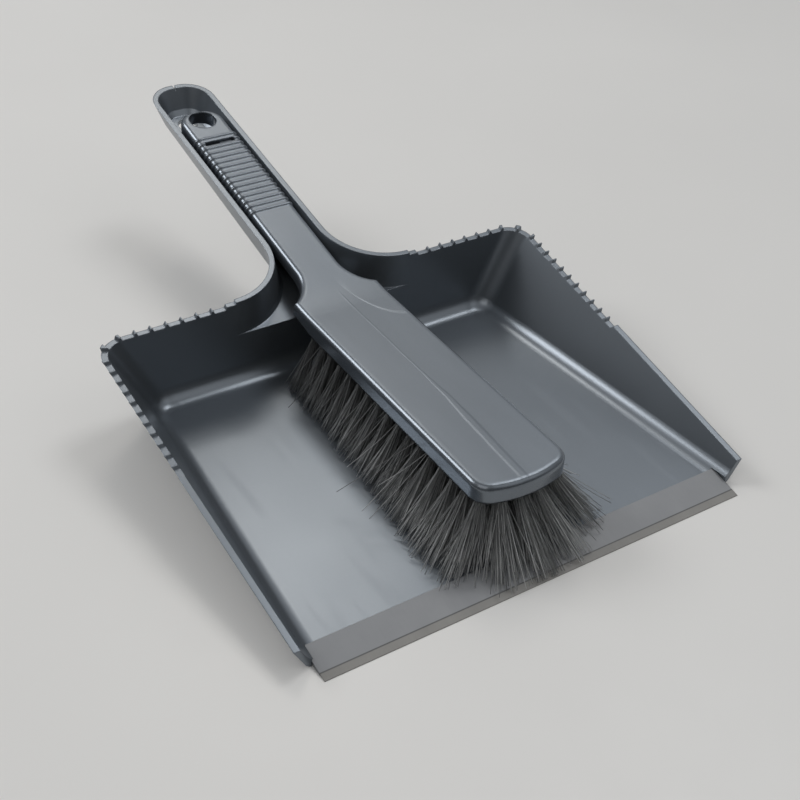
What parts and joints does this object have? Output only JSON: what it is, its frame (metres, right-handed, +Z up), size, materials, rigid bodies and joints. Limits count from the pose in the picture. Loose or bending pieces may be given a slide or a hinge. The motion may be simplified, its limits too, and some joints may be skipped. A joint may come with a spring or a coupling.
{
  "type": "dustpan and brush set",
  "caption": "Dustpan with flared walls, a comb-toothed rim, a rubber lip and a trough handle, and a hand brush with splayed tufts that nests in it and lifts off.",
  "frame": {"origin": "centre of the bounding box's underside, on the surface the pan stands on", "axes": "+X across the pan, +Y from the lip to the handle's end, +Z up"},
  "size_m": [0.2236, 0.33, 0.0721],
  "materials": {
    "pan_plastic": "satin silver-grey moulded polypropylene",
    "lip_rubber": "matte grey soft lip",
    "brush_plastic": "satin silver-grey moulded polypropylene",
    "bristle_plastic": "warm grey synthetic filament",
    "anchor_steel": "plain steel strip"
  },
  "bodies": {
    "pan": {"dustpan": "pan_plastic", "rubber_lip": "lip_rubber"},
    "brush": {"brush_body": "brush_plastic", "tufts_left_outer": "bristle_plastic", "tufts_left_inner": "bristle_plastic", "tufts_middle": "bristle_plastic", "tufts_right_inner": "bristle_plastic", "tufts_right_outer": "bristle_plastic", "tuft_anchors": "anchor_steel"}
  },
  "joints": [
    {"name": "brush_lift", "type": "slide", "parent": "pan", "child": "brush", "axis": [0, 0, 1], "range_m": [0, 0.1]}
  ]
}
